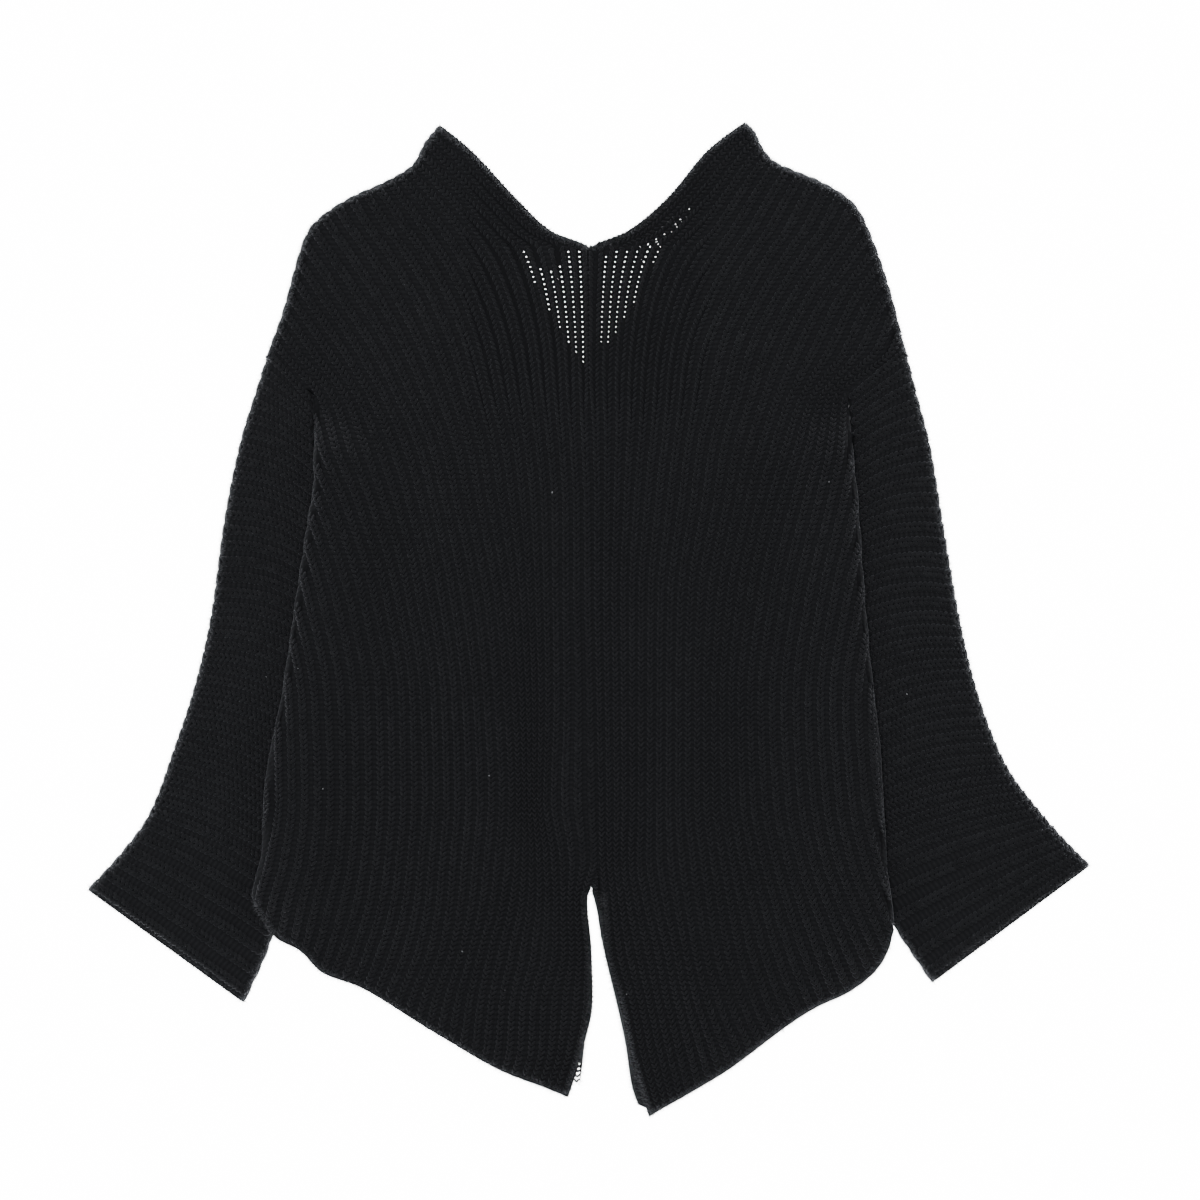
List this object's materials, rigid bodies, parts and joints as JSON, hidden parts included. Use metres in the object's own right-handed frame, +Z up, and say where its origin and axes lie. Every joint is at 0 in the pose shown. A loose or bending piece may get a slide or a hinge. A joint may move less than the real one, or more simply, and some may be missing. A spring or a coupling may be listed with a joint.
{
  "type": "cashmere cardigan",
  "caption": "Chunky ribbed knit cardigan with a V neck and wide batwing sleeves, laid flat with its back uppermost.",
  "frame": {"origin": "middle of the garment's bounding box, on the surface that it lies on", "axes": "+Z up from the surface, +Y from the hem towards the neck, +X towards the sleeve at the picture's right"},
  "size_m": [0.6996, 0.6959, 0.0178],
  "materials": {
    "knit": "matte black chunky cashmere rib with a soft nap"
  },
  "bodies": {
    "root": {"back_left": "knit", "back_right": "knit", "sleeve_left": "knit", "sleeve_right": "knit", "front_left": "knit", "front_right": "knit"}
  },
  "joints": []
}
